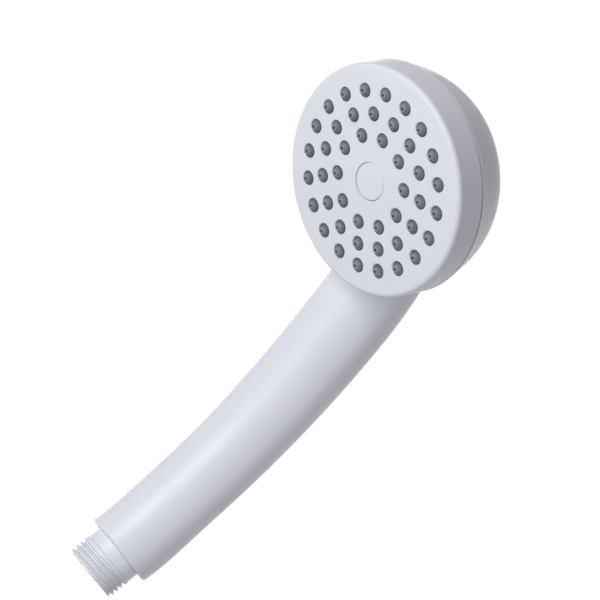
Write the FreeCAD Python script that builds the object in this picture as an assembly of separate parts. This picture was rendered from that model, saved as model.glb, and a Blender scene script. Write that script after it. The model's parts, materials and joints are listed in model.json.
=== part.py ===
import FreeCAD, Part
import math
import os
from FreeCAD import Placement, Rotation, Vector

# Handheld shower head, all lengths in millimetres.
# Origin: centre of the inlet's end face. +Z runs up the inlet into the handle, and the spray side is -Y.
# The plane X = 0 halves the handle.

# ---- driving sizes --------------------------------------------------------------------------------------
# inlet
thread_diameter = 20.955     # G1/2 external thread
thread_pitch = 1.8143
thread_depth = 1.162
thread_length = 7.9
thread_chamfer = 0.7
inlet_length = 12.4          # from the end face to the foot of the handle
collar_radius = 10.15
inlet_bore = 14.0
flange_thickness = 2.2
flange_gap = 0.3             # between the flange and the handle's wall
neck_wall = 1.0              # round the widest part that the inlet holds

# handle
handle_bend = 244.5          # radius of the handle's centreline
handle_foot_radius = 13.35
handle_low_radius = 13.55
handle_mid_radius = 14.25
handle_top_radius = 14.65
handle_low_angle = 9.0       # stations along the bend, in degrees from the foot
handle_mid_angle = 18.5
handle_top_angle = 26.0
foot_round = 1.2
foot_straight = 1.5          # the bend starts this far above the foot
foot_wall = 3.4
shell_wall = 2.2
junction_round = 6.0

# head
head_reach = 49.21           # centre of the spray face, on from the end of the handle's bend
head_offset = 43.82          # and square to that, towards the spray side
head_tilt = 48.6             # the spray axis points this far below the horizontal
head_radius = 37.75          # at the seam between the front cover and the bowl
seam_depth = 11.8
seam_gap = 0.3
seam_chamfer = 0.35
face_dome = 565.0            # radius of the slightly domed spray face
rim_step = 0.15              # the band is this much narrower at the front
rim_round = 1.7
bowl_taper = 18.5            # degrees, the bowl's side behind the seam
bowl_taper_length = 7.4
bowl_shoulder = 28.0         # radius of the shoulder between the taper and the round back
bowl_shoulder_end = 45.0

# where the handle runs into the bowl: depth behind the seam, height on the head, lean, radius
neck_stations = (
    (16.3, -41.4, 15.5, 14.4),
    (16.9, -23.2, 5.0, 13.4),
    (16.3, -6.0, 0.0, 12.3),
)

# spray face
cover_inside = 3.3           # depth of the front cover's flat inside
cover_wall = 2.05
mat_thickness = 1.4
chamber_depth = 3.8
plate_thickness = 2.5
pattern_clock = 9.15         # the nozzle pattern is turned this far off the handle
nozzle_rings = ((10, 14.78, 0.5), (15, 21.83, 0.0), (20, 29.01, 0.5))  # count, ring radius, start in steps
nozzle_hole_radius = 2.35
nozzle_clearance = 0.15
nozzle_height = 1.2
outlet_radius = 0.45
cap_radius = 6.3
cap_thickness = 1.4
cover_boss_wall = 2.2
port_count = 6
port_radius = 1.25
port_gap = 0.25              # between the cover's boss and the ports round it
rim_wall = 1.6
mat_key_count = 3
mat_key_start = 30.0         # the first key's angle, in degrees
rib_count = 8
rib_thickness = 1.2
rib_height = 2.0
screw_boss_height = 5.5

# bayonet between the back plate and the bowl
twist_travel = 30.0
mouth_step = 0.95            # from the bowl's inner wall to the pilot
pilot_depth = 2.0            # behind the seam
skirt_step = 2.4             # from the pilot to the skirt
skirt_wall = 1.6
skirt_lip = 2.4              # the skirt goes on this far past the lugs
lug_count = 3
lug_arc = 14.0
lug_drop = 0.8               # from the pilot's end to the lugs
lug_height = 1.6
lug_bite = 1.3               # how far a lug reaches into the skirt
lug_clearance = 0.25
turning_clearance = 0.3

# waterway
tube_radius = 6.0
tube_wall = 1.3
tube_socket_depth = 9.8
tube_high_bend = 60.0
spigot_radius = 8.3
spigot_wall = 1.8
spigot_clearance = 1.1       # from the back plate to the spigot's end
socket_wall = 1.8
elbow_step = 1.7             # the elbow is this much wider than its spigot
elbow_drop = 1.0             # from the skirt's end to the elbow's shoulder
elbow_wall = 2.0
elbow_end = 7.5              # the elbow goes on this far behind the tube
elbow_port_length = 18.0
ear_spacing = 17.0
ear_radius = 3.5
ear_thickness = 2.5
ear_drop = 1.5               # from the elbow's shoulder to its ears

# fasteners and seals
screw_shank_radius = 1.5
screw_head_radius = 2.7
screw_head_height = 1.8
recess_width = 0.7
recess_reach = 1.5
recess_depth = 0.9
centre_screw_length = 12.0
elbow_screw_length = 10.0
boss_wall = 1.7
seal_section = 1.5
seal_groove = 1.8
key_width = 2.0
key_depth = 1.0
fit_gap = 0.1

# parts inside the inlet, from the end face upwards
strainer_bottom = 0.8
strainer_height = 2.4
strainer_ledge = 1.8
strainer_rim = 0.9
mesh_thickness = 0.35
mesh_hole_radius = 0.38
mesh_pitch = 1.15
regulator_height = 4.0
regulator_floor = 1.2
regulator_wall = 1.6
regulator_hole_count = 6
regulator_core_radius = 1.8
regulator_ring_section = 1.7
valve_height = 13.0
valve_wall = 1.3
valve_seat_thickness = 1.4
poppet_gap = 1.1             # the water's way round the poppet
poppet_lap = 1.1             # how far the poppet covers its seat
poppet_thickness = 1.5
poppet_nose = 1.6            # height of the cone under the poppet
poppet_nose_step = 0.6
poppet_edge = 0.5
stem_radius = 1.1
stem_clearance = 0.25
valve_seal_thickness = 0.8
valve_seal_gap = 0.05
guide_thickness = 1.4
guide_hub_radius = 2.3
guide_arm_width = 1.2
spring_radius = 2.5
spring_wire = 0.5
spring_turns = 5
spring_sides = 8             # the wire's section is a polygon
stop_thickness = 2.0

# ---- values worked out from them ------------------------------------------------------------------------
bore_radius = inlet_bore / 2
insert_radius = bore_radius - fit_gap
poppet_radius = insert_radius - valve_wall - poppet_gap
valve_seat_radius = poppet_radius - poppet_lap
tube_bore = tube_radius - tube_wall
tube_socket_radius = tube_radius + fit_gap
flange_radius = handle_foot_radius - shell_wall - flange_gap
nipple_neck_radius = max(bore_radius, tube_socket_radius) + neck_wall
seat_z = inlet_length + foot_wall
regulator_bottom = strainer_bottom + strainer_height
valve_bottom = regulator_bottom + regulator_height
valve_top = valve_bottom + valve_height
socket_bottom = valve_top + stop_thickness
socket_top = socket_bottom + tube_socket_depth
mat_back = cover_inside + mat_thickness
plate_front = mat_back + chamber_depth
plate_back = plate_front + plate_thickness
rim_radius = head_radius - rim_step
cover_inner_radius = head_radius - cover_wall
cover_boss_radius = screw_shank_radius + fit_gap + cover_boss_wall
plate_radius = cover_inner_radius - fit_gap
rim_outer_radius = cover_inner_radius - rim_wall
mat_radius = rim_outer_radius - fit_gap
nozzle_root_radius = nozzle_hole_radius - nozzle_clearance
port_ring_radius = cover_boss_radius + port_gap + port_radius
bowl_front = seam_depth + seam_gap
pilot_radius = head_radius - shell_wall - mouth_step
pilot_end = seam_depth + pilot_depth
skirt_radius = pilot_radius - skirt_step
lug_reach = skirt_radius - lug_bite
lug_top = pilot_end + lug_drop
skirt_end = lug_top + lug_height + skirt_lip
spigot_socket_radius = spigot_radius + turning_clearance
spigot_top = plate_back + spigot_clearance
elbow_radius = spigot_radius + elbow_step
elbow_top = skirt_end + elbow_drop
elbow_port_radius = tube_radius + elbow_wall
tube_depth = elbow_top + elbow_port_radius
elbow_back = tube_depth + elbow_end
ear_top = elbow_top + ear_drop
bend_z = inlet_length + foot_straight


def on_bend(angle):
    """The centre of the handle at an angle along its bend."""
    turn = math.radians(angle)
    return Vector(0, -handle_bend * (1 - math.cos(turn)), bend_z + handle_bend * math.sin(turn))


def leaning(degrees):
    """The direction that leans this far from +Z towards the spray side."""
    turn = math.radians(degrees)
    return Vector(0, -math.sin(turn), math.cos(turn))


head_centre = on_bend(handle_top_angle) + leaning(handle_top_angle) * head_reach
head_centre += leaning(handle_top_angle + 90) * head_offset
head_place = Placement(head_centre, Rotation(Vector(1, 0, 0), 90 + head_tilt))


# ---- helpers --------------------------------------------------------------------------------------------
def cylinder(radius, low, high, x=0.0, y=0.0):
    """A rod along Z between two heights."""
    return Part.makeCylinder(radius, high - low, Vector(x, y, low))


def ring(outer, inner, low, high):
    return cylinder(outer, low, high).cut(cylinder(inner, low - 1, high + 1))


def block(x0, x1, y0, y1, z0, z1):
    return Part.makeBox(x1 - x0, y1 - y0, z1 - z0, Vector(x0, y0, z0))


def arc_edge(start, middle, end):
    """An arc through three (r, z) points. One that reaches the axis is a spline, to turn into a dome."""
    arc = Part.Arc(*[Vector(r, 0, z) for r, z in (start, middle, end)])
    if start[0] > 0 and end[0] > 0:
        return arc.toShape()
    return arc.toNurbs().toShape()


def turned(start, *steps):
    """A solid of revolution about Z. Each step is a corner (r, z), or an arc as (middle, end)."""
    edges = []
    here = start
    for step in steps + (start,):
        if isinstance(step[0], tuple):
            middle, end = step
            edges.append(arc_edge(here, middle, end))
        else:
            end = step
            if end != here:
                edges.append(Part.makeLine(Vector(here[0], 0, here[1]), Vector(end[0], 0, end[1])))
        here = end
    face = Part.Face(Part.Wire(edges))
    outward = 1 if face.normalAt(0, 0).y < 0 else -1
    return face.revolve(Vector(0, 0, 0), Vector(0, 0, outward), 360)


def polar(radius, degrees, z=0.0):
    turn = math.radians(degrees)
    return Vector(radius * math.cos(turn), radius * math.sin(turn), z)


def around(shape, count, start=0.0):
    """Copies of a shape spaced evenly about Z."""
    copies = []
    for i in range(count):
        copy = shape.copy()
        copy.rotate(Vector(0, 0, 0), Vector(0, 0, 1), start + i * 360.0 / count)
        copies.append(copy)
    return copies


def sector(outer, inner, low, high, middle, width):
    """Part of a ring, width degrees wide about the angle middle."""
    wedge = Part.makeCylinder(outer, high - low, Vector(0, 0, low), Vector(0, 0, 1), width)
    wedge.rotate(Vector(0, 0, 0), Vector(0, 0, 1), middle - width / 2)
    return wedge.cut(cylinder(inner, low - 1, high + 1))


def seal_ring(radius, section, z):
    return Part.makeTorus(radius, section / 2, Vector(0, 0, z))


def seal_channel(outer, floor, z):
    """What is cut from a wall to hold a seal ring."""
    return ring(outer, floor, z - seal_groove / 2, z + seal_groove / 2)


def one(shape):
    """The single solid that a boolean operation wraps in a compound."""
    return shape.Solids[0] if len(shape.Solids) == 1 else shape


def on_head(shape):
    """Moves a shape made on the spray axis, with the face at z = 0, to its place on the product."""
    placed = shape.copy()
    placed.Placement = head_place.multiply(placed.Placement)
    return placed


def face_height(radius):
    """Height of the domed spray face at a distance from its centre."""
    return -(face_dome - math.sqrt(face_dome ** 2 - radius ** 2))


def bayonet_angles():
    return [90 + i * 360.0 / lug_count for i in range(lug_count)]


# ---- body shell -----------------------------------------------------------------------------------------
def circle_at(centre, lean, radius):
    """A circle across the handle, whose axis leans this many degrees from +Z towards the spray side."""
    circle = Part.makeCircle(radius)
    circle.Placement = Placement(centre, Rotation(Vector(1, 0, 0), lean))
    return Part.Wire(circle)


def handle_volume(inset, foot_z):
    """The handle's outer shape, or the hollow inside it when inset is the wall."""
    stations = (
        (handle_low_angle / 2, (handle_foot_radius + handle_low_radius) / 2),
        (handle_low_angle, handle_low_radius),
        (handle_mid_angle, handle_mid_radius),
        (handle_top_angle, handle_top_radius),
    )
    wires = [circle_at(Vector(0, 0, foot_z), 0.0, handle_foot_radius - inset)]
    for angle, radius in stations:
        wires.append(circle_at(on_bend(angle), angle, radius - inset))
    for behind, height, lean, radius in neck_stations:
        centre = head_place.multVec(Vector(0, height, -bowl_front - behind))
        wires.append(circle_at(centre, head_tilt - lean, radius - inset))
    return Part.makeLoft(wires, True, False)


def bowl_volume(inset, front):
    """The bowl on the spray axis: a tapered side, a round shoulder and a round back."""
    taper = math.radians(bowl_taper)
    shoulder_end = math.radians(bowl_shoulder_end)
    half = (taper + math.radians(90) - shoulder_end) / 2
    side_end_r = head_radius - bowl_taper_length * math.sin(taper)
    side_end_z = -bowl_front - bowl_taper_length * math.cos(taper)
    centre_r = side_end_r - bowl_shoulder * math.cos(taper)
    centre_z = side_end_z + bowl_shoulder * math.sin(taper)
    shoulder = bowl_shoulder - inset
    turn = math.radians(90) - shoulder_end
    back_sphere = bowl_shoulder + centre_r / math.cos(turn)
    back_centre = centre_z + (back_sphere - bowl_shoulder) * math.sin(turn)
    back = back_sphere - inset
    rest = (turn + math.radians(90)) / 2
    # the side's line, moved in by the wall and carried on to the front plane
    low = (centre_r + shoulder * math.cos(taper), centre_z - shoulder * math.sin(taper))
    front_r = low[0] + (front - low[1]) * math.tan(taper)
    return turned(
        (0.0, front),
        (front_r, front),
        low,
        ((centre_r + shoulder * math.cos(half), centre_z - shoulder * math.sin(half)),
         (centre_r + shoulder * math.cos(turn), centre_z - shoulder * math.sin(turn))),
        ((back * math.cos(rest), back_centre - back * math.sin(rest)), (0.0, back_centre - back)),
    )


def shared_edges(joined, first, second):
    """The edges of a fused shape where the skins of the two solids meet."""
    touching = 0.02
    found = []
    for edge in joined.Edges:
        if edge.Degenerated:
            continue
        length = edge.LastParameter - edge.FirstParameter
        points = [Part.Vertex(edge.valueAt(edge.FirstParameter + length * step / 4)) for step in range(5)]
        skins = (first.Shells[0], second.Shells[0])
        if all(point.distToShape(skin)[0] < touching for point in points for skin in skins):
            found.append(edge)
    return found


def ear_pair(radius, low, high):
    """Two rods along the spray axis, one through each of the elbow's ears."""
    return [cylinder(radius, low, high, x) for x in (-ear_spacing, ear_spacing)]


def elbow_bosses():
    """Two posts inside the bowl's back that take the elbow's screws."""
    return Part.makeCompound(ear_pair(screw_shank_radius + boss_wall, -2 * elbow_back, -ear_top - ear_thickness))


def body_shell():
    handle = handle_volume(0.0, inlet_length)
    bowl = on_head(bowl_volume(0.0, -bowl_front))
    outer = one(handle.fuse(bowl))
    outer = outer.makeFillet(junction_round, shared_edges(outer, handle, bowl))
    foot_edges = [edge for edge in outer.Edges if edge.BoundBox.ZMax < inlet_length + 0.1]
    outer = outer.makeFillet(foot_round, foot_edges)
    hollow = on_head(bowl_volume(shell_wall, -bowl_front + 1))
    inside = handle_volume(shell_wall, seat_z)
    mouth = cylinder(pilot_radius + turning_clearance, -pilot_end - turning_clearance, -bowl_front + 1)
    shell = outer.cut(inside).cut(hollow).cut(on_head(mouth))
    posts = on_head(elbow_bosses()).common(outer)
    shell = shell.fuse(posts)
    pilots = Part.makeCompound(ear_pair(screw_shank_radius, -ear_top - elbow_screw_length, 0))
    shell = shell.cut(on_head(pilots))
    lugs = [
        sector(head_radius, lug_reach, -lug_top - lug_height, -lug_top, angle, lug_arc)
        for angle in bayonet_angles()
    ]
    shell = shell.fuse(on_head(Part.makeCompound(lugs)).common(outer))
    shell = shell.cut(cylinder(collar_radius + fit_gap, 0, seat_z + 1))
    reach = flange_radius + 1
    keys = block(-reach, reach, -key_width / 2, key_width / 2, seat_z, seat_z + flange_thickness)
    keys = keys.cut(cylinder(flange_radius - key_depth, 0, 2 * seat_z)).common(outer)
    return one(shell.fuse(keys))


# ---- inlet ----------------------------------------------------------------------------------------------
def thread_groove():
    """The V groove of the external thread, run out past both ends of the threaded length."""
    crest = thread_diameter / 2
    root = crest - thread_depth
    outside = crest + 0.5
    start = -1.5 * thread_pitch
    half_root = 0.08 * thread_pitch
    half_mouth = half_root + (outside - root) * math.tan(math.radians(27.5))
    corners = [
        Vector(root, 0, start - half_root),
        Vector(root, 0, start + half_root),
        Vector(outside, 0, start + half_mouth),
        Vector(outside, 0, start - half_mouth),
    ]
    profile = Part.makePolygon(corners + corners[:1])
    path = Part.makeHelix(thread_pitch, thread_length - start - half_mouth, root)
    path.translate(Vector(0, 0, start))
    return Part.Wire(path.Edges).makePipeShell([profile], True, True)


def inlet_nipple():
    crest = thread_diameter / 2
    body = turned(
        (bore_radius, 0.0),
        (crest - thread_depth, 0.0),
        (crest, thread_chamfer),
        (crest, thread_length),
        (collar_radius, thread_length + 0.3),
        (collar_radius, seat_z),
        (flange_radius, seat_z),
        (flange_radius, seat_z + flange_thickness),
        (nipple_neck_radius, seat_z + flange_thickness),
        (nipple_neck_radius, socket_top),
        (tube_socket_radius, socket_top),
        (tube_socket_radius, socket_bottom),
        (tube_bore, socket_bottom),
        (tube_bore, valve_top),
        (bore_radius, valve_top),
    )
    body = body.cut(thread_groove())
    groove = seal_channel(collar_radius + 1, collar_radius - seal_section, inlet_length + foot_wall / 2)
    half_way = key_width / 2 + fit_gap
    keyways = block(-flange_radius, flange_radius, -half_way, half_way, seat_z, seat_z + flange_thickness)
    keyways = keyways.cut(cylinder(flange_radius - key_depth - fit_gap, 0, 2 * seat_z))
    return one(body.cut(groove).cut(keyways))


def nipple_seal():
    return seal_ring(collar_radius + fit_gap / 2 - seal_section / 2, seal_section, inlet_length + foot_wall / 2)


def strainer_frame():
    ledge = bore_radius - strainer_ledge
    low = strainer_bottom
    half_up = low + strainer_height / 2
    frame = ring(insert_radius, ledge, low, half_up)
    frame = frame.fuse(ring(insert_radius, ledge + strainer_rim, half_up, low + strainer_height))
    bar = block(0, ledge + 0.3, -0.45, 0.45, low + 0.4, half_up)
    return one(frame.fuse(around(bar, 4)))


def strainer_mesh():
    radius = bore_radius - strainer_ledge + strainer_rim - fit_gap
    low = strainer_bottom + strainer_height / 2
    disc = cylinder(radius, low, low + mesh_thickness)
    holes = []
    rows = int(radius / mesh_pitch) + 1
    for row in range(-rows, rows + 1):
        for column in range(-rows, rows + 1):
            x = (column + (row % 2) / 2) * mesh_pitch
            y = row * mesh_pitch * math.sin(math.radians(60))
            if math.hypot(x, y) < radius - mesh_pitch:
                holes.append(cylinder(mesh_hole_radius, low - 1, low + 1, x, y))
    return disc.cut(Part.makeCompound(holes))


def regulator_body():
    low = regulator_bottom
    high = low + regulator_height
    floor = high - regulator_floor
    body = ring(insert_radius, insert_radius - regulator_wall, low, high)
    body = body.fuse(cylinder(insert_radius - regulator_wall / 2, floor, high))
    body = body.fuse(cylinder(regulator_core_radius, low + 0.4, high))
    hole = cylinder(0.8, floor - 1, high + 1, regulator_core_radius + regulator_ring_section * 0.8)
    return one(body.cut(Part.makeCompound(around(hole, regulator_hole_count))))


def regulator_ring():
    radius = regulator_core_radius + regulator_ring_section / 2 + fit_gap
    floor = regulator_bottom + regulator_height - regulator_floor
    return seal_ring(radius, regulator_ring_section, floor - regulator_ring_section / 2)


def valve_housing():
    inner = insert_radius - valve_wall
    body = ring(insert_radius, inner, valve_bottom, valve_top)
    seat = ring(inner + 0.5, valve_seat_radius, valve_bottom, valve_bottom + valve_seat_thickness)
    guide = cylinder(guide_hub_radius, valve_top - guide_thickness, valve_top)
    half_arm = guide_arm_width / 2
    arm = block(0, inner + 0.5, -half_arm, half_arm, valve_top - guide_thickness, valve_top)
    guide = guide.fuse(around(arm, 3)).cut(cylinder(stem_radius + stem_clearance, 0, valve_top + 1))
    return one(body.fuse([seat, guide]))


def poppet_bottom():
    return valve_bottom + valve_seat_thickness + valve_seal_gap + valve_seal_thickness


def valve_poppet():
    low = poppet_bottom()
    head_back = low + poppet_thickness
    stem_top = valve_top - 0.2
    return turned(
        (0.0, low - poppet_nose),
        (valve_seat_radius - 2 * poppet_nose_step, low - valve_seal_thickness),
        (valve_seat_radius - poppet_nose_step, low),
        (poppet_radius, low),
        (poppet_radius, head_back - poppet_edge),
        (poppet_radius - poppet_edge, head_back),
        (stem_radius, head_back),
        (stem_radius, stem_top),
        (0.0, stem_top),
    )


def valve_seal():
    low = poppet_bottom() - valve_seal_thickness
    return ring(poppet_radius, valve_seat_radius - poppet_nose_step, low, low + valve_seal_thickness)


def valve_spring():
    wire = spring_wire / 2
    low = poppet_bottom() + poppet_thickness + wire + fit_gap
    high = valve_top - guide_thickness - wire - fit_gap
    path = Part.makeHelix((high - low) / spring_turns, high - low, spring_radius)
    corners = []
    for i in range(spring_sides + 1):
        turn = math.radians(i * 360.0 / spring_sides)
        corners.append(Vector(spring_radius + wire * math.cos(turn), 0, wire * math.sin(turn)))
    section = Part.makePolygon(corners)
    coil = Part.Wire(path.Edges).makePipeShell([section], True, True)
    coil.translate(Vector(0, 0, low))
    return coil


# ---- waterway -------------------------------------------------------------------------------------------
def rounded_path(points, radii):
    """Straight runs through the points, with a tangent arc at each corner between them."""
    edges = []
    here = points[0]
    for corner, after, radius in zip(points[1:], points[2:], radii):
        before = (here - corner).normalize()
        onward = (after - corner).normalize()
        half_turn = (math.pi - before.getAngle(onward)) / 2
        reach = radius * math.tan(half_turn)
        start = corner + before * reach
        end = corner + onward * reach
        inward = (before + onward).normalize()
        middle = corner + inward * (radius / math.cos(half_turn) - radius)
        edges.append(Part.makeLine(here, start))
        edges.append(Part.Arc(start, middle, end).toShape())
        here = end
    edges.append(Part.makeLine(here, points[-1]))
    return Part.Wire(edges)


def tube_path():
    """Up the inlet's axis, then along the end of the handle's bend, then into the elbow."""
    half_lean = math.tan(math.radians(handle_top_angle / 2))
    low_corner = Vector(0, 0, bend_z + handle_bend * half_lean)
    low_bend = (low_corner.z - socket_top) / half_lean
    port = head_place.multVec(Vector(0, -elbow_radius, -tube_depth))
    up = head_place.Rotation.multVec(Vector(0, 1, 0))
    lean = leaning(handle_top_angle)
    # where the leaning run from the lower corner meets the run that enters the elbow
    gap = port - low_corner
    reach = (gap.y * up.z - gap.z * up.y) / (lean.y * up.z - lean.z * up.y)
    high_corner = low_corner + lean * reach
    corners = [Vector(0, 0, socket_bottom), low_corner, high_corner, port]
    return rounded_path(corners, [low_bend, tube_high_bend])


def water_tube():
    path = tube_path()
    start = Vector(0, 0, socket_bottom)
    skins = []
    for radius in (tube_radius, tube_bore):
        section = Part.Wire(Part.makeCircle(radius, start, Vector(0, 0, 1)))
        skins.append(path.makePipeShell([section], True, True))
    return skins[0].cut(skins[1])


def along_port(radius, near, far):
    """A rod that leaves the elbow towards the handle, at the tube's depth."""
    return Part.makeCylinder(radius, far - near, Vector(0, -near, -tube_depth), Vector(0, -1, 0))


def tube_elbow():
    body = cylinder(elbow_radius, -elbow_back, -elbow_top)
    body = body.fuse(cylinder(spigot_radius, -elbow_top, -spigot_top))
    body = body.fuse(along_port(elbow_port_radius, 0, elbow_port_length))
    low = -ear_top - ear_thickness
    bar = block(-ear_spacing, ear_spacing, -ear_radius, ear_radius, low, -ear_top)
    ears = bar.fuse(ear_pair(ear_radius, low, -ear_top))
    holes = ear_pair(screw_shank_radius + fit_gap, low - 1, -ear_top + 1)
    body = body.fuse(ears).cut(Part.makeCompound(holes))
    body = body.cut(cylinder(spigot_radius - spigot_wall, -elbow_back + elbow_wall, 0))
    body = body.cut(along_port(tube_bore, 0, elbow_port_length + 1))
    body = body.cut(along_port(tube_socket_radius, elbow_radius, elbow_port_length + 1))
    floor = spigot_socket_radius - 1.5 * fit_gap - seal_section
    groove = seal_channel(spigot_radius + 1, floor, -(spigot_top + elbow_top) / 2)
    return on_head(one(body.cut(groove)))


def spigot_seal():
    radius = spigot_socket_radius - fit_gap - seal_section / 2
    return on_head(seal_ring(radius, seal_section, -(spigot_top + elbow_top) / 2))


def screw(head_under, length, x=0.0):
    """A pan head self-tapping screw pointing down the spray axis, with a cross recess."""
    top = head_under + screw_head_height
    head = cylinder(screw_head_radius, head_under, top, x)
    body = head.fuse(cylinder(screw_shank_radius, head_under - length, head_under, x))
    half = recess_width / 2
    slot = block(x - recess_reach, x + recess_reach, -half, half, top - recess_depth, top + 1)
    cross = block(x - half, x + half, -recess_reach, recess_reach, top - recess_depth, top + 1)
    return one(body.cut(slot.fuse(cross)))


def elbow_screws():
    pair = [screw(-ear_top, elbow_screw_length - fit_gap, x) for x in (-ear_spacing, ear_spacing)]
    return on_head(Part.makeCompound(pair))


# ---- spray face -----------------------------------------------------------------------------------------
def nozzle_places():
    """Distance and angle of every nozzle about the spray axis."""
    places = []
    for count, radius, start in nozzle_rings:
        step = 360.0 / count
        for i in range(count):
            places.append((radius, -90 - pattern_clock + (i + start) * step))
    return places


def placed_on_rings(make):
    """One copy of make(radius) at each nozzle's place."""
    shapes = []
    pattern = {radius: make(radius) for count, radius, start in nozzle_rings}
    for radius, angle in nozzle_places():
        shape = pattern[radius].copy()
        shape.translate(polar(radius, angle))
        shapes.append(shape)
    return shapes


def nozzle_hole(radius):
    """The hole for one nozzle, with its edge broken at the front."""
    edge = 0.25
    face = face_height(radius)
    return turned(
        (0.0, -cover_inside - 1),
        (nozzle_hole_radius, -cover_inside - 1),
        (nozzle_hole_radius, face - edge),
        (nozzle_hole_radius + 2 * edge, face + edge),
        (0.0, face + edge),
    )


def front_cover():
    face_edge = rim_radius - rim_round
    edge_z = face_height(face_edge)
    bend = rim_round * math.sqrt(0.5)
    cover = turned(
        (0.0, 0.0),
        ((face_edge / 2, face_height(face_edge / 2)), (face_edge, edge_z)),
        ((face_edge + bend, edge_z - rim_round + bend), (rim_radius, edge_z - rim_round)),
        (head_radius, -seam_depth + seam_chamfer),
        (head_radius - seam_chamfer, -seam_depth),
        (cover_inner_radius, -seam_depth),
        (cover_inner_radius, -cover_inside),
        (cover_boss_radius, -cover_inside),
        (cover_boss_radius, -plate_front),
        (0.0, -plate_front),
    )
    cuts = placed_on_rings(nozzle_hole)
    cuts.append(cylinder(cap_radius, -cap_thickness, 1))
    cuts.append(cylinder(screw_head_radius + fit_gap, -cap_thickness - screw_head_height - fit_gap, 0))
    cuts.append(cylinder(screw_shank_radius + fit_gap, -plate_front - 1, 0))
    cover = cover.cut(Part.makeCompound(cuts))
    half = key_width / 2
    key = block(rim_outer_radius - key_depth, cover_inner_radius + 0.5, -half, half, -plate_front, -mat_back)
    return on_head(one(cover.fuse(around(key, mat_key_count, mat_key_start))))


def nozzle(radius):
    """One soft nozzle: a root in the cover's hole, a shoulder, a cone and a small tip."""
    face = face_height(radius)
    tip = face + nozzle_height
    return turned(
        (outlet_radius, tip),
        (outlet_radius + 0.4, tip),
        (outlet_radius + 0.55, tip - 0.4),
        (nozzle_root_radius - 0.55, face + 0.15),
        (nozzle_root_radius - 0.2, face - 0.05),
        (nozzle_root_radius, face - 0.35),
        (nozzle_root_radius, -cover_inside - mat_thickness / 2),
        (outlet_radius + 0.6, -cover_inside - mat_thickness / 2),
        (outlet_radius, tip - 1.6),
    )


def nozzle_mat():
    mat = ring(mat_radius, cover_boss_radius + 0.4, -mat_back, -cover_inside)
    inlets = placed_on_rings(lambda radius: cylinder(outlet_radius + 0.6, -mat_back - 1, 0))
    return on_head(one(mat.cut(Part.makeCompound(inlets)).fuse(placed_on_rings(nozzle))))


def back_plate():
    plate = cylinder(plate_radius, -plate_back, -plate_front)
    rim = ring(rim_outer_radius, rim_outer_radius - rim_wall, -plate_front, -mat_back)
    pilot = ring(pilot_radius, skirt_radius - skirt_wall, -pilot_end, -plate_back)
    skirt = ring(skirt_radius, skirt_radius - skirt_wall, -skirt_end, -pilot_end)
    socket = ring(spigot_socket_radius + socket_wall, spigot_socket_radius, -elbow_top + 1, -plate_back)
    boss_end = -plate_back - screw_boss_height
    boss = cylinder(screw_shank_radius + boss_wall, boss_end, -plate_back)
    half_rib = rib_thickness / 2
    rib_end = -plate_back - rib_height
    rib = block(spigot_socket_radius + 1, skirt_radius - 1, -half_rib, half_rib, rib_end, -plate_back)
    plate = plate.fuse([rim, pilot, skirt, socket, boss] + around(rib, rib_count))
    cuts = [seal_channel(plate_radius + 1, plate_radius - seal_section, -(plate_front + plate_back) / 2)]
    cuts += around(cylinder(port_radius, -plate_back - 1, -plate_front + 1, port_ring_radius), port_count)
    cuts.append(cylinder(screw_shank_radius, boss_end - 1, 0))
    half_way = key_width / 2 + fit_gap
    keyway_floor = rim_outer_radius - key_depth - fit_gap
    keyway = block(keyway_floor, plate_radius, -half_way, half_way, -plate_front, -mat_back + 1)
    cuts += around(keyway, mat_key_count, mat_key_start)
    margin = math.degrees(lug_clearance / skirt_radius)
    slot_low = -lug_top - lug_height - lug_clearance
    slot_high = -lug_top + lug_clearance
    entry = lug_arc + 2 * margin
    for angle in bayonet_angles():
        middle = angle - twist_travel / 2
        cuts.append(sector(skirt_radius + 3, lug_reach - 1, slot_low, slot_high, middle, entry + twist_travel))
        cuts.append(sector(skirt_radius + 3, lug_reach - 1, -skirt_end - 1, slot_high, angle - twist_travel, entry))
    return on_head(one(plate.cut(Part.makeCompound(cuts))))


def chamber_seal():
    groove_z = -(plate_front + plate_back) / 2
    return on_head(seal_ring(plate_radius + fit_gap / 2 - seal_section / 2, seal_section, groove_z))


def centre_screw():
    return on_head(screw(-cap_thickness - screw_head_height, centre_screw_length))


def centre_cap():
    radius = cap_radius - fit_gap
    edge = 0.15
    height = face_height(radius)
    return on_head(turned(
        (0.0, 0.0),
        ((radius / 2, face_height(radius / 2)), (radius - edge, height)),
        (radius, height - edge),
        (radius, -cap_thickness),
        (0.0, -cap_thickness),
    ))


# ---- write ----------------------------------------------------------------------------------------------
parts = {
    "body_shell": body_shell,
    "inlet_nipple": inlet_nipple,
    "nipple_seal": nipple_seal,
    "strainer_frame": strainer_frame,
    "strainer_mesh": strainer_mesh,
    "regulator_body": regulator_body,
    "regulator_ring": regulator_ring,
    "valve_housing": valve_housing,
    "valve_poppet": valve_poppet,
    "valve_seal": valve_seal,
    "valve_spring": valve_spring,
    "water_tube": water_tube,
    "tube_elbow": tube_elbow,
    "elbow_screws": elbow_screws,
    "spigot_seal": spigot_seal,
    "front_cover": front_cover,
    "nozzle_mat": nozzle_mat,
    "back_plate": back_plate,
    "chamber_seal": chamber_seal,
    "centre_screw": centre_screw,
    "centre_cap": centre_cap,
}

os.makedirs("parts", exist_ok=True)
for name, make in parts.items():
    shape = make()
    shape.exportStep("parts/" + name + ".step")
    print(name, "solids", len(shape.Solids), "volume", round(shape.Volume, 1), "valid", shape.isValid())
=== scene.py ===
import json
import math

import bmesh
import bpy
from mathutils import Matrix, Vector


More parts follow.
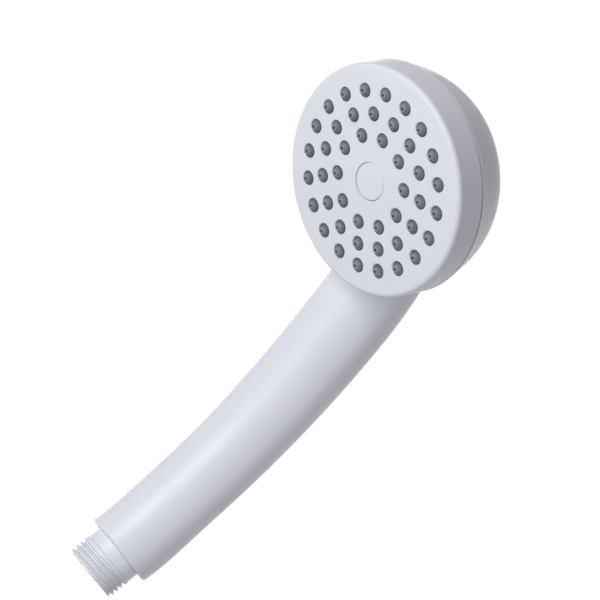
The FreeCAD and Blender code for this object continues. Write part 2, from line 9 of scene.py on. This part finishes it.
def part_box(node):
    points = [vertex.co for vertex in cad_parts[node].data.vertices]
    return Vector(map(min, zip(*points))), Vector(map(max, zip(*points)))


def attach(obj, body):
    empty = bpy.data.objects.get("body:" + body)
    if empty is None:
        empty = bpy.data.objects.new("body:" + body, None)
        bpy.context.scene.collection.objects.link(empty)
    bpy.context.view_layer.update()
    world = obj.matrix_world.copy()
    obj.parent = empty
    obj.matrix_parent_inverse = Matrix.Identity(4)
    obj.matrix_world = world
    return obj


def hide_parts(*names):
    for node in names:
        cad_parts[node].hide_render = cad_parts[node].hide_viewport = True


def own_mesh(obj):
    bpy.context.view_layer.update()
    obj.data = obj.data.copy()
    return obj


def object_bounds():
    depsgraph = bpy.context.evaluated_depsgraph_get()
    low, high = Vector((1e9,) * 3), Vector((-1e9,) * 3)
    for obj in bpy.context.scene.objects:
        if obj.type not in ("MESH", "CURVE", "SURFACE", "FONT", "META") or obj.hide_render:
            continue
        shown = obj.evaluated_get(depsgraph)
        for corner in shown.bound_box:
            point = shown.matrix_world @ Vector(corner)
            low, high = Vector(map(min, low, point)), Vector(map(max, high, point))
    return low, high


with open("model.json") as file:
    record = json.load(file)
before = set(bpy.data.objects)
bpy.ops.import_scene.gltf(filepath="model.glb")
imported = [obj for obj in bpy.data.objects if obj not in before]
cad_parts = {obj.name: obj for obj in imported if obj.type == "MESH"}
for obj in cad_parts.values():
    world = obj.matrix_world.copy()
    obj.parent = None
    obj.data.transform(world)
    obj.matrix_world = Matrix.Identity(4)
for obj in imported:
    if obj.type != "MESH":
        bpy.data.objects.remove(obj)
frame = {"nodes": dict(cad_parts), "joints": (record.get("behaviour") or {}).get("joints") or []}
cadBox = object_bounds()
joints = {joint["name"]: joint for joint in frame["joints"]}
mm = 0.001
domeRadius = 565.0  # of the spray face, in mm

# where the spray face is, from the frame
sprayAxis = Vector(joints["face_twist"]["axis"]).normalized()
faceCentre = Vector(joints["face_twist"]["pos_m"])
faceUp = Vector((1, 0, 0)).cross(sprayAxis) * -1
headTurn = Matrix((Vector((1, 0, 0)), faceUp, sprayAxis)).transposed().to_4x4()
headPlace = Matrix.Translation(faceCentre) @ headTurn


# node groups shared by several materials

def newGroup(name, inputs, outputs):
    group = bpy.data.node_groups.new(name, "ShaderNodeTree")
    for label, kind, value in inputs:
        socket = group.interface.new_socket(name=label, in_out="INPUT", socket_type=kind)
        socket.default_value = value
    for label, kind in outputs:
        group.interface.new_socket(name=label, in_out="OUTPUT", socket_type=kind)
    return group, group.nodes.new("NodeGroupInput"), group.nodes.new("NodeGroupOutput")


def addNoise(tree, coords, scale, detail, rough=0.5):
    noise = tree.nodes.new("ShaderNodeTexNoise")
    noise.inputs["Detail"].default_value = detail
    noise.inputs["Roughness"].default_value = rough
    if isinstance(scale, float):
        noise.inputs["Scale"].default_value = scale
    else:
        tree.links.new(scale, noise.inputs["Scale"])
    tree.links.new(coords, noise.inputs["Vector"])
    return noise


def remap(tree, value, low, high, fromLow=0.3, fromHigh=0.7):
    node = tree.nodes.new("ShaderNodeMapRange")
    node.inputs["From Min"].default_value = fromLow
    node.inputs["From Max"].default_value = fromHigh
    for socket, end in (("To Min", low), ("To Max", high)):
        if isinstance(end, float):
            node.inputs[socket].default_value = end
        else:
            tree.links.new(end, node.inputs[socket])
    tree.links.new(value, node.inputs["Value"])
    return node.outputs["Result"]


def makeMouldedSkin():
    # fine moulding texture and a slow mottle in the colour
    group, start, end = newGroup(
        "mouldedSkin",
        [("Base", "NodeSocketColor", (0.8, 0.8, 0.8, 1)), ("Shade", "NodeSocketColor", (0.7, 0.7, 0.7, 1)),
         ("Mottle Scale", "NodeSocketFloat", 60.0), ("Grain Scale", "NodeSocketFloat", 2500.0),
         ("Grain Height", "NodeSocketFloat", 0.1), ("Rough Low", "NodeSocketFloat", 0.3),
         ("Rough High", "NodeSocketFloat", 0.4)],
        [("Color", "NodeSocketColor"), ("Roughness", "NodeSocketFloat"), ("Normal", "NodeSocketVector")])
    place = group.nodes.new("ShaderNodeTexCoord")
    mottle = addNoise(group, place.outputs["Object"], start.outputs["Mottle Scale"], 3.0)
    grain = addNoise(group, place.outputs["Object"], start.outputs["Grain Scale"], 2.0)
    mix = group.nodes.new("ShaderNodeMix")
    mix.data_type = "RGBA"
    group.links.new(remap(group, mottle.outputs["Fac"], 0.0, 1.0), mix.inputs["Factor"])
    group.links.new(start.outputs["Base"], mix.inputs["A"])
    group.links.new(start.outputs["Shade"], mix.inputs["B"])
    bump = group.nodes.new("ShaderNodeBump")
    bump.inputs["Distance"].default_value = 0.00005
    group.links.new(start.outputs["Grain Height"], bump.inputs["Strength"])
    group.links.new(grain.outputs["Fac"], bump.inputs["Height"])
    rough = remap(group, mottle.outputs["Fac"], start.outputs["Rough Low"], start.outputs["Rough High"])
    group.links.new(mix.outputs["Result"], end.inputs["Color"])
    group.links.new(rough, end.inputs["Roughness"])
    group.links.new(bump.outputs["Normal"], end.inputs["Normal"])
    return group


mouldedSkin = makeMouldedSkin()

finishes = {
    "whiteAbs": {"base": (0.80, 0.81, 0.86), "shade": (0.77, 0.78, 0.84), "mottle": 45.0,
                 "grain": 1800.0, "height": 0.05, "rough": (0.34, 0.42), "specular": 0.45, "metal": 0.0},
    "whiteFace": {"base": (0.80, 0.81, 0.86), "shade": (0.78, 0.79, 0.845), "mottle": 60.0,
                  "grain": 1500.0, "height": 0.12, "rough": (0.42, 0.50), "specular": 0.4, "metal": 0.0},
    "greyRubber": {"base": (0.27, 0.33, 0.36), "shade": (0.22, 0.275, 0.30), "mottle": 400.0,
                   "grain": 3000.0, "height": 0.25, "rough": (0.48, 0.62), "specular": 0.35, "metal": 0.0},
    "blackRubber": {"base": (0.03, 0.03, 0.032), "shade": (0.02, 0.02, 0.022), "mottle": 300.0,
                    "grain": 2500.0, "height": 0.2, "rough": (0.55, 0.7), "specular": 0.3, "metal": 0.0},
    "naturalPlastic": {"base": (0.70, 0.71, 0.69), "shade": (0.64, 0.65, 0.63), "mottle": 90.0,
                       "grain": 1600.0, "height": 0.15, "rough": (0.45, 0.6), "specular": 0.4, "metal": 0.0},
    "stainless": {"base": (0.62, 0.62, 0.61), "shade": (0.52, 0.52, 0.52), "mottle": 500.0,
                  "grain": 2200.0, "height": 0.1, "rough": (0.25, 0.4), "specular": 0.5, "metal": 1.0},
}


def makeFinish(name):
    look = finishes[name]
    material = bpy.data.materials.new(name)
    material.use_nodes = True
    tree = material.node_tree
    shader = tree.nodes["Principled BSDF"]
    skin = tree.nodes.new("ShaderNodeGroup")
    skin.node_tree = mouldedSkin
    skin.inputs["Base"].default_value = look["base"] + (1,)
    skin.inputs["Shade"].default_value = look["shade"] + (1,)
    skin.inputs["Mottle Scale"].default_value = look["mottle"]
    skin.inputs["Grain Scale"].default_value = look["grain"]
    skin.inputs["Grain Height"].default_value = look["height"]
    skin.inputs["Rough Low"].default_value = look["rough"][0]
    skin.inputs["Rough High"].default_value = look["rough"][1]
    tree.links.new(skin.outputs["Color"], shader.inputs["Base Color"])
    tree.links.new(skin.outputs["Roughness"], shader.inputs["Roughness"])
    tree.links.new(skin.outputs["Normal"], shader.inputs["Normal"])
    shader.inputs["Specular IOR Level"].default_value = look["specular"]
    shader.inputs["Metallic"].default_value = look["metal"]
    return material


materials = {name: makeFinish(name) for name in finishes}


def paintNozzleGrooveShade():
    # painted shade: the rubber's colour is darkened by height above the face, darkest in the groove round
    # each nozzle and at full colour on its tip
    tree = materials["greyRubber"].node_tree
    shader = tree.nodes["Principled BSDF"]
    skin = next(node for node in tree.nodes if node.type == "GROUP")
    place = tree.nodes.new("ShaderNodeTexCoord")
    fromCentre = tree.nodes.new("ShaderNodeVectorMath")
    fromCentre.operation = "SUBTRACT"
    fromCentre.inputs[1].default_value = faceCentre
    height = tree.nodes.new("ShaderNodeVectorMath")
    height.operation = "DOT_PRODUCT"
    height.inputs[1].default_value = sprayAxis
    squared = tree.nodes.new("ShaderNodeVectorMath")
    squared.operation = "DOT_PRODUCT"
    tree.links.new(place.outputs["Object"], fromCentre.inputs[0])
    tree.links.new(fromCentre.outputs["Vector"], height.inputs[0])
    tree.links.new(fromCentre.outputs["Vector"], squared.inputs[0])
    tree.links.new(fromCentre.outputs["Vector"], squared.inputs[1])
    aboveFace = tree.nodes.new("ShaderNodeMath")
    aboveFace.operation = "MULTIPLY_ADD"
    aboveFace.inputs[1].default_value = 0.5 / (domeRadius * mm)
    tree.links.new(squared.outputs["Value"], aboveFace.inputs[0])
    tree.links.new(height.outputs["Value"], aboveFace.inputs[2])
    # painted shade ramp: dark grey at the nozzle's root, white (no change) from 0.7 mm above the face
    ramp = tree.nodes.new("ShaderNodeValToRGB")
    ramp.color_ramp.interpolation = "B_SPLINE"
    ramp.color_ramp.elements[0].position = 0.0
    ramp.color_ramp.elements[0].color = (0.22, 0.22, 0.24, 1)
    ramp.color_ramp.elements[1].position = 1.0
    ramp.color_ramp.elements[1].color = (1.0, 1.0, 1.0, 1)
    step = ramp.color_ramp.elements.new(0.35)
    step.color = (0.45, 0.46, 0.48, 1)
    tree.links.new(remap(tree, aboveFace.outputs["Value"], 0.0, 1.0, -0.4 * mm, 0.7 * mm), ramp.inputs["Fac"])
    # the painted shade is multiplied into the rubber's colour
    mix = tree.nodes.new("ShaderNodeMix")
    mix.data_type = "RGBA"
    mix.blend_type = "MULTIPLY"
    mix.inputs["Factor"].default_value = 1.0
    tree.links.new(skin.outputs["Color"], mix.inputs["A"])
    tree.links.new(ramp.outputs["Color"], mix.inputs["B"])
    tree.links.new(mix.outputs["Result"], shader.inputs["Base Color"])


paintNozzleGrooveShade()
print("materials ready")

nodeFinish = {
    "body_shell": "whiteAbs", "inlet_nipple": "whiteAbs", "front_cover": "whiteFace",
    "centre_cap": "whiteFace", "nozzle_mat": "greyRubber",
    "nipple_seal": "blackRubber", "regulator_ring": "blackRubber",
    "valve_seal": "blackRubber", "spigot_seal": "blackRubber", "chamber_seal": "blackRubber",
    "strainer_frame": "naturalPlastic", "regulator_body": "naturalPlastic", "valve_housing": "naturalPlastic",
    "valve_poppet": "naturalPlastic", "water_tube": "naturalPlastic", "tube_elbow": "naturalPlastic",
    "back_plate": "naturalPlastic", "strainer_mesh": "stainless", "valve_spring": "stainless",
    "elbow_screws": "stainless", "centre_screw": "stainless",
}
for node, finish in nodeFinish.items():
    slots = frame["nodes"][node].material_slots
    for slot in slots:
        slot.material = materials[finish]
print("frame dressed")

# the soft nozzles and the sheet that carries them

nozzles = {
    # each ring: count, radius in mm, start in steps
    "rings": ((10, 14.78, 0.5), (15, 21.83, 0.0), (20, 29.01, 0.5)),
    "clock": 9.15, "sheet": (-4.7, -3.3), "sheetRadius": (4.2, 34.0),
    "root": 2.2, "shoulder": 1.92, "neck": 1.5, "tip": 1.0, "outlet": 0.5,
    "height": 1.2, "outletDepth": 1.5, "sides": 40,
}


def faceHeight(radius):
    return math.sqrt(domeRadius ** 2 - radius ** 2) - domeRadius


def arcPoints(centre, radius, start, end, steps):
    points = []
    for i in range(steps + 1):
        turn = math.radians(start + (end - start) * i / steps)
        points.append((centre[0] + radius * math.cos(turn), centre[1] + radius * math.sin(turn)))
    return points


def nozzleProfile(face):
    # from the sheet up the root, over the rim bead, up the cone, over the tip and down into the outlet
    look = nozzles
    top = face + look["height"]
    profile = [(look["root"], look["sheet"][1] - 0.2), (look["root"], face - 0.42)]
    profile += arcPoints((look["root"] - 0.16, face - 0.32), 0.16, 0, 80, 5)
    profile.append((look["shoulder"], face - 0.13))
    profile += arcPoints((look["shoulder"] - 0.1, face), 0.1, -20, 80, 4)
    profile += arcPoints((look["neck"] + 0.1, face + 0.2), 0.1, 260, 190, 4)
    profile += arcPoints((look["tip"] - 0.16, top - 0.18), 0.18, 25, 90, 6)
    profile += arcPoints((look["outlet"] + 0.1, top - 0.1), 0.1, 90, 180, 4)
    profile += [(look["outlet"], top - look["outletDepth"]), (look["outlet"] + 0.5, look["sheet"][0])]
    return profile


def spinProfile(mesh, profile, sides, x, y):
    rings = []
    for radius, height in profile:
        ring = []
        for i in range(sides):
            turn = 2 * math.pi * i / sides
            ring.append(mesh.verts.new((
                (x + radius * math.cos(turn)) * mm, (y + radius * math.sin(turn)) * mm, height * mm)))
        rings.append(ring)
    for low, high in zip(rings, rings[1:]):
        for i in range(sides):
            after = (i + 1) % sides
            mesh.faces.new((low[i], low[after], high[after], high[i]))


def makeNozzles():
    look = nozzles
    mesh = bmesh.new()
    for count, radius, start in look["rings"]:
        face = faceHeight(radius)
        for i in range(count):
            turn = math.radians(-90 - look["clock"] + (i + start) * 360 / count)
            x, y = radius * math.cos(turn), radius * math.sin(turn)
            spinProfile(mesh, nozzleProfile(face), look["sides"], x, y)
    low, high = look["sheet"]
    inner, outer = look["sheetRadius"]
    sheet = [(inner, low), (outer - 0.2, low), (outer, low + 0.2), (outer, high), (inner, high), (inner, low)]
    spinProfile(mesh, sheet, 4 * look["sides"], 0, 0)
    bmesh.ops.recalc_face_normals(mesh, faces=mesh.faces)
    mesh.transform(headPlace)
    data = bpy.data.meshes.new("softNozzles")
    mesh.to_mesh(data)
    mesh.free()
    data.shade_smooth()
    piece = bpy.data.objects.new("softNozzles", data)
    bpy.context.scene.collection.objects.link(piece)
    data.materials.append(materials["greyRubber"])
    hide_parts("nozzle_mat")
    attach(piece, "spray_face")


makeNozzles()
print("nozzles ready")

# the blank disc in the middle of the face

cap = {"radius": 6.1, "edge": 0.45, "bottom": -1.4, "sides": 96, "rows": 8}


def makeCap():
    look = cap
    mesh = bmesh.new()
    profile = []
    for i in range(look["rows"] + 1):
        radius = 0.05 + (look["radius"] - look["edge"] - 0.05) * i / look["rows"]
        profile.append((radius, faceHeight(radius)))
    corner = (look["radius"] - look["edge"], profile[-1][1] - look["edge"])
    profile += arcPoints(corner, look["edge"], 75, 0, 6)
    profile += [(look["radius"], look["bottom"]), (0.05, look["bottom"])]
    spinProfile(mesh, profile, look["sides"], 0, 0)
    bmesh.ops.holes_fill(mesh, edges=[edge for edge in mesh.edges if edge.is_boundary], sides=0)
    bmesh.ops.recalc_face_normals(mesh, faces=mesh.faces)
    mesh.transform(headPlace)
    data = bpy.data.meshes.new("centreDisc")
    mesh.to_mesh(data)
    mesh.free()
    data.shade_smooth()
    piece = bpy.data.objects.new("centreDisc", data)
    bpy.context.scene.collection.objects.link(piece)
    data.materials.append(materials["whiteFace"])
    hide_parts("centre_cap")
    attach(piece, "spray_face")


makeCap()
print("centre disc ready")

# the check valve's spring, a round wire coil at one fixed length (the real spring shortens when the poppet
# lifts)

spring = {"radius": 2.5, "wire": 0.25, "turns": 5, "stepsPerTurn": 48, "wireSides": 12, "lift": 2.4}


def makeSpring():
    look = spring
    low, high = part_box("valve_spring")
    bottom = low[2] + look["wire"] * mm
    top = high[2] - look["wire"] * mm
    steps = look["turns"] * look["stepsPerTurn"]
    mesh = bmesh.new()
    rings = []
    for i in range(steps + 1):
        turn = 2 * math.pi * i / look["stepsPerTurn"]
        ring = []
        for side in range(look["wireSides"]):
            around = 2 * math.pi * side / look["wireSides"]
            radius = (look["radius"] + look["wire"] * math.cos(around)) * mm
            height = bottom + (top - bottom) * i / steps + look["wire"] * mm * math.sin(around)
            ring.append(mesh.verts.new((radius * math.cos(turn), radius * math.sin(turn), height)))
        rings.append(ring)
    for before, after in zip(rings, rings[1:]):
        for side in range(look["wireSides"]):
            onward = (side + 1) % look["wireSides"]
            mesh.faces.new((before[side], before[onward], after[onward], after[side]))
    mesh.faces.new(rings[0])
    mesh.faces.new(rings[-1])
    bmesh.ops.recalc_face_normals(mesh, faces=mesh.faces)
    data = bpy.data.meshes.new("roundSpring")
    mesh.to_mesh(data)
    mesh.free()
    data.shade_smooth()
    piece = bpy.data.objects.new("roundSpring", data)
    bpy.context.scene.collection.objects.link(piece)
    data.materials.append(materials["stainless"])
    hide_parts("valve_spring")
    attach(piece, "handset")
    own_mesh(piece)


makeSpring()
print("spring ready")

# floor, light and camera

studio = {
    "keyWatts": 7.8, "backWatts": 3.5, "bounceWatts": 0.10,
    "floorDrop": 0.75, "floorSize": 8.0, "floorColour": (0.90, 0.905, 0.92), "floorGlow": 0.7,
    "floorFade": (0.6, 1.8),
    "worldColour": (0.93, 0.94, 1.0), "worldStrength": 0.22,
}
view = {"place": (0.39819, -0.76415, 0.00152), "right": (0.601147, 0.221637, 0.767788),
        "up": (-0.634855, -0.451086, 0.62728), "lens": 151.25}


def seenRays(tree):
    # 1 for the rays that show the background: straight, in a reflection, or through a clear part
    path = tree.nodes.new("ShaderNodeLightPath")
    seen = path.outputs["Is Camera Ray"]
    for label in ("Is Glossy Ray", "Is Transmission Ray"):
        widest = tree.nodes.new("ShaderNodeMath")
        widest.operation = "MAXIMUM"
        tree.links.new(seen, widest.inputs[0])
        tree.links.new(path.outputs[label], widest.inputs[1])
        seen = widest.outputs["Value"]
    return seen


def makeFloor():
    mesh = bpy.data.meshes.new("floor")
    half = studio["floorSize"] / 2
    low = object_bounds()[0][2] - studio["floorDrop"]
    corners = [(-half, -half, low), (half, -half, low), (half, half, low), (-half, half, low)]
    mesh.from_pydata(corners, [], [(0, 1, 2, 3)])
    floor = bpy.data.objects.new("floor", mesh)
    bpy.context.scene.collection.objects.link(floor)
    material = bpy.data.materials.new("paleFloor")
    material.use_nodes = True
    tree = material.node_tree
    shader = tree.nodes["Principled BSDF"]
    shader.inputs["Base Color"].default_value = studio["floorColour"] + (1,)
    shader.inputs["Roughness"].default_value = 0.9
    shader.inputs["Specular IOR Level"].default_value = 0.1
    # white where it is seen, with enough plain paint left in it to take the shadow
    glow = tree.nodes.new("ShaderNodeEmission")
    glow.inputs["Color"].default_value = (1, 1, 1, 1)
    glow.inputs["Strength"].default_value = 1.0
    place = tree.nodes.new("ShaderNodeTexCoord")
    away = tree.nodes.new("ShaderNodeVectorMath")
    away.operation = "LENGTH"
    tree.links.new(place.outputs["Object"], away.inputs[0])
    near, far = studio["floorFade"]
    fade = remap(tree, away.outputs["Value"], studio["floorGlow"], 1.0, near, far)
    share = tree.nodes.new("ShaderNodeMath")
    share.operation = "MULTIPLY"
    tree.links.new(fade, share.inputs[0])
    tree.links.new(seenRays(tree), share.inputs[1])
    lit = tree.nodes.new("ShaderNodeMixShader")
    tree.links.new(share.outputs["Value"], lit.inputs["Fac"])
    tree.links.new(shader.outputs["BSDF"], lit.inputs[1])
    tree.links.new(glow.outputs["Emission"], lit.inputs[2])
    clear = tree.nodes.new("ShaderNodeBsdfTransparent")
    side = tree.nodes.new("ShaderNodeNewGeometry")
    mix = tree.nodes.new("ShaderNodeMixShader")
    tree.links.new(side.outputs["Backfacing"], mix.inputs["Fac"])
    tree.links.new(lit.outputs["Shader"], mix.inputs[1])
    tree.links.new(clear.outputs["BSDF"], mix.inputs[2])
    tree.links.new(mix.outputs["Shader"], tree.nodes["Material Output"].inputs["Surface"])
    mesh.materials.append(material)


def makeWorld():
    world = bpy.data.worlds.new("studio")
    bpy.context.scene.world = world
    world.use_nodes = True
    tree = world.node_tree
    soft = tree.nodes["Background"]
    soft.inputs["Color"].default_value = studio["worldColour"] + (1,)
    soft.inputs["Strength"].default_value = studio["worldStrength"]
    white = tree.nodes.new("ShaderNodeBackground")
    white.inputs["Color"].default_value = (1, 1, 1, 1)
    white.inputs["Strength"].default_value = 1.0
    mix = tree.nodes.new("ShaderNodeMixShader")
    tree.links.new(seenRays(tree), mix.inputs["Fac"])
    tree.links.new(soft.outputs["Background"], mix.inputs[1])
    tree.links.new(white.outputs["Background"], mix.inputs[2])
    tree.links.new(mix.outputs["Shader"], tree.nodes["World Output"].inputs["Surface"])


def addLamp(name, place, target, width, height, power, colour=(1, 1, 1)):
    data = bpy.data.lights.new(name, "AREA")
    data.shape = "RECTANGLE"
    data.size = width
    data.size_y = height
    data.energy = power
    data.color = colour
    lamp = bpy.data.objects.new(name, data)
    lamp.location = place
    lamp.rotation_euler = (Vector(target) - Vector(place)).to_track_quat("-Z", "Y").to_euler()
    bpy.context.scene.collection.objects.link(lamp)


def makeCamera():
    data = bpy.data.cameras.new("camera")
    data.lens = view["lens"]
    data.sensor_width = 36
    data.clip_end = 20
    camera = bpy.data.objects.new("camera", data)
    right = Vector(view["right"]).normalized()
    up = Vector(view["up"])
    up = (up - up.dot(right) * right).normalized()
    turned = Matrix((right, up, right.cross(up))).transposed().to_4x4()
    camera.matrix_world = Matrix.Translation(view["place"]) @ turned
    bpy.context.scene.collection.objects.link(camera)
    bpy.context.scene.camera = camera


makeFloor()
makeWorld()
middle = (Vector(cadBox[0]) + Vector(cadBox[1])) / 2
cameraLeft = -Vector(view["right"])
cameraUp = Vector(view["up"])
towardCamera = (Vector(view["place"]) - middle).normalized()
handleLow = Vector((0, 0, cadBox[1][2] * 0.25))
keyPlace = middle + cameraLeft * 0.5 + cameraUp * 0.42 + towardCamera * 0.78
backPlace = middle + cameraUp * 0.15 - towardCamera
bouncePlace = handleLow - (cameraLeft + cameraUp) * 0.15 + towardCamera * 0.14
addLamp("keyLamp", keyPlace, middle, 0.6, 0.7, studio["keyWatts"])
addLamp("backLamp", backPlace, middle, 0.6, 0.6, studio["backWatts"])
addLamp("bounceCard", bouncePlace, handleLow, 0.16, 0.16, studio["bounceWatts"])
makeCamera()
scene = bpy.context.scene
scene.view_settings.view_transform = "Standard"
print("studio ready")
